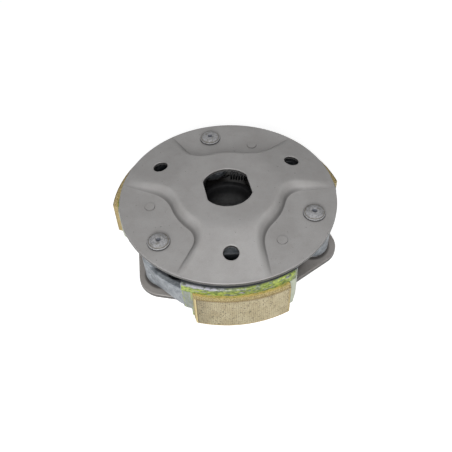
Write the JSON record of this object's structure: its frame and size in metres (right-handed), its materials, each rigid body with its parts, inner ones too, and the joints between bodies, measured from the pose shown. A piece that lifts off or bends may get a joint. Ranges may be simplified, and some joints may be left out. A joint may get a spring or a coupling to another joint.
{
  "type": "centrifugal clutch",
  "caption": "Wet centrifugal clutch: splined base plate with lobes, pivoting shoes with bonded linings, and a riveted cover plate with a pressed star.",
  "frame": {"origin": "on the crankshaft's axis, in the hub's lower end face, where the part rests", "axes": "+Z along the crankshaft's axis, from the base plate to the cover plate; +Y towards pivot 1"},
  "size_m": [0.1366, 0.1355, 0.0414],
  "materials": {
    "pressed_steel_cover": "matt phosphate grey",
    "pressed_steel_base": "matt brownish grey",
    "turned_steel": "zinc grey, satin",
    "cast_metal": "rough cast, bluish light grey",
    "friction_lining": "tan friction composite with a fine woven grain",
    "bronze": "satin",
    "rubber": "matt",
    "spring_steel": "oiled"
  },
  "bodies": {
    "carrier": {"drive_plate": "pressed_steel_base", "hub": "turned_steel", "cover_plate": "pressed_steel_cover", "pivot_pin_1": "turned_steel", "lower_washer_1": "turned_steel", "upper_washer_1": "turned_steel", "stop_pin_1": "turned_steel", "damper_1": "rubber", "return_spring_1": "spring_steel", "pivot_pin_2": "turned_steel", "lower_washer_2": "turned_steel", "upper_washer_2": "turned_steel", "stop_pin_2": "turned_steel", "damper_2": "rubber", "return_spring_2": "spring_steel", "pivot_pin_3": "turned_steel", "lower_washer_3": "turned_steel", "upper_washer_3": "turned_steel", "stop_pin_3": "turned_steel", "damper_3": "rubber", "return_spring_3": "spring_steel"},
    "swing_shoe_1": {"shoe_1": "cast_metal", "lining_1": "friction_lining", "bush_1": "bronze"},
    "swing_shoe_2": {"shoe_2": "cast_metal", "lining_2": "friction_lining", "bush_2": "bronze"},
    "swing_shoe_3": {"shoe_3": "cast_metal", "lining_3": "friction_lining", "bush_3": "bronze"}
  },
  "joints": [
    {"name": "shoe_1_pivot", "type": "hinge", "parent": "carrier", "child": "swing_shoe_1", "pos_m": [0, 0.0515, 0.0195], "axis": [0, 0, -1], "range_deg": [0, 4], "stiffness_Nm_per_rad": 6, "springref_deg": -2.86, "deforming": ["return_spring_1", "return_spring_3"]},
    {"name": "shoe_2_pivot", "type": "hinge", "parent": "carrier", "child": "swing_shoe_2", "pos_m": [-0.0446, -0.02575, 0.0195], "axis": [0, 0, -1], "range_deg": [0, 4], "stiffness_Nm_per_rad": 6, "springref_deg": -2.86, "deforming": ["return_spring_2", "return_spring_1"]},
    {"name": "shoe_3_pivot", "type": "hinge", "parent": "carrier", "child": "swing_shoe_3", "pos_m": [0.0446, -0.02575, 0.0195], "axis": [0, 0, -1], "range_deg": [0, 4], "stiffness_Nm_per_rad": 6, "springref_deg": -2.86, "deforming": ["return_spring_3", "return_spring_2"]}
  ]
}
